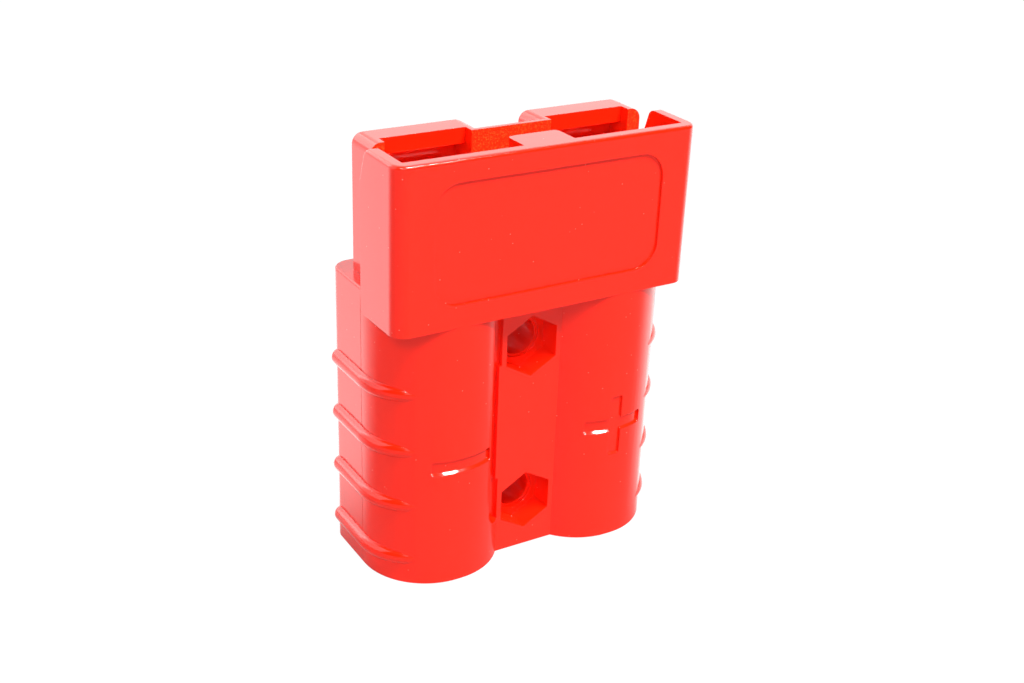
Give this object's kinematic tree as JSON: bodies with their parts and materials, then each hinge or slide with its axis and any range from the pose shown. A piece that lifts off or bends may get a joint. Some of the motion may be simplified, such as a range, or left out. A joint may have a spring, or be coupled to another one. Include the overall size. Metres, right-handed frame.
{
  "type": "genderless power connector",
  "caption": "Genderless DC power connector with a hood and tongue that mate with an identical twin, crimp contacts on leaf springs and screw holes.",
  "frame": {"origin": "middle of the wire-entry end that it stands on", "axes": "+Z out of the mating end, -Y out of the hood's front, X across the two poles with the positive pole at +X"},
  "size_m": [0.0366, 0.0156, 0.0477],
  "materials": {
    "housing": "glossy red moulded polycarbonate",
    "contact": "silver-plated copper",
    "spring": "stainless spring steel"
  },
  "bodies": {
    "root": {"housing": "housing", "contact_positive": "contact", "contact_negative": "contact", "contact_spring_positive": "spring", "contact_spring_negative": "spring"}
  },
  "joints": []
}
